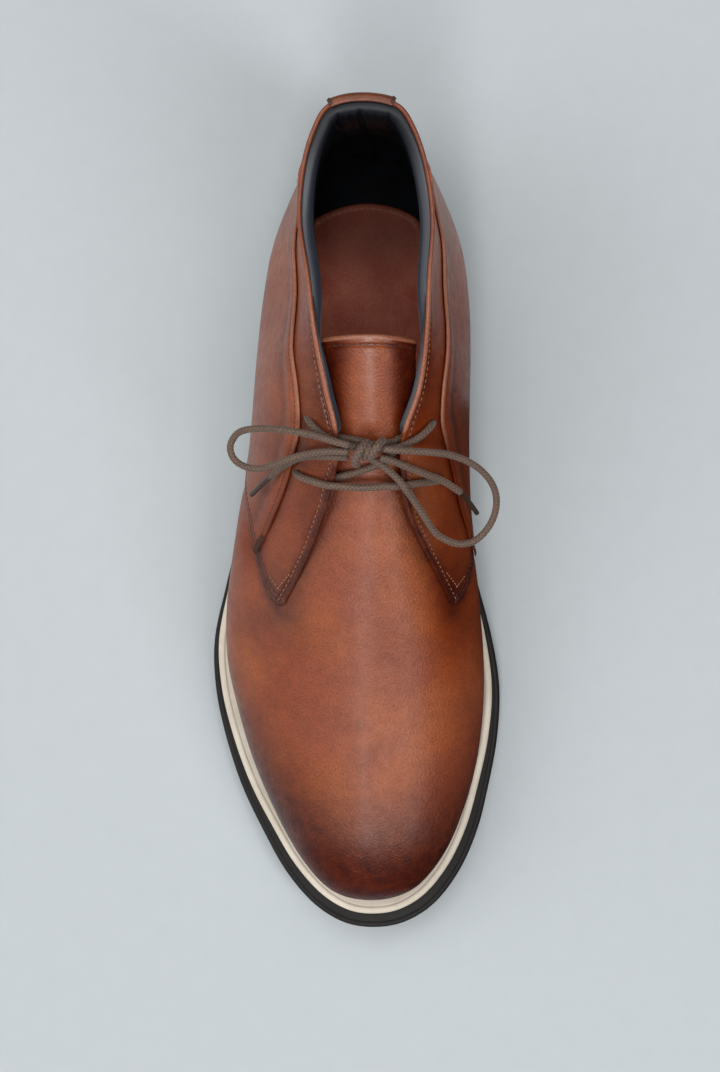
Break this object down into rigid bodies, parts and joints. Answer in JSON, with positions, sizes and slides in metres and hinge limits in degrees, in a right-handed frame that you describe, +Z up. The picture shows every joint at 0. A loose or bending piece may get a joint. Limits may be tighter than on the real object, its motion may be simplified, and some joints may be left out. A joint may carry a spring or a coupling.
{
  "type": "chukka boot",
  "caption": "Right-foot leather chukka boot with open lacing, bone welt strip, low heel and a tied round lace.",
  "frame": {"origin": "on the floor, at the middle of the outsole's length and width", "axes": "+Z up; -Y towards the toe, +Y towards the heel; +X towards the inner (big toe) side of the foot"},
  "size_m": [0.1113, 0.302, 0.1288],
  "materials": {
    "outsole_rubber": "matte, fine grain",
    "welt_strip": "matte, bone coloured",
    "insole_leather": "matte",
    "upper_leather": "waxed satin, burnished toe",
    "tongue_leather": "waxed satin",
    "lace_cord": "matte braided cord",
    "aglet": "dark, slightly glossy"
  },
  "bodies": {
    "root": {"outsole": "outsole_rubber", "midsole": "welt_strip", "insole": "insole_leather", "upper": "upper_leather", "tongue": "tongue_leather", "lace_bar": "lace_cord", "lace_crossings": "lace_cord", "lace_knot": "lace_cord", "lace_loop_left": "lace_cord", "lace_loop_right": "lace_cord", "lace_end_left": "lace_cord", "lace_end_right": "lace_cord", "aglet_left": "aglet", "aglet_right": "aglet"}
  },
  "joints": []
}
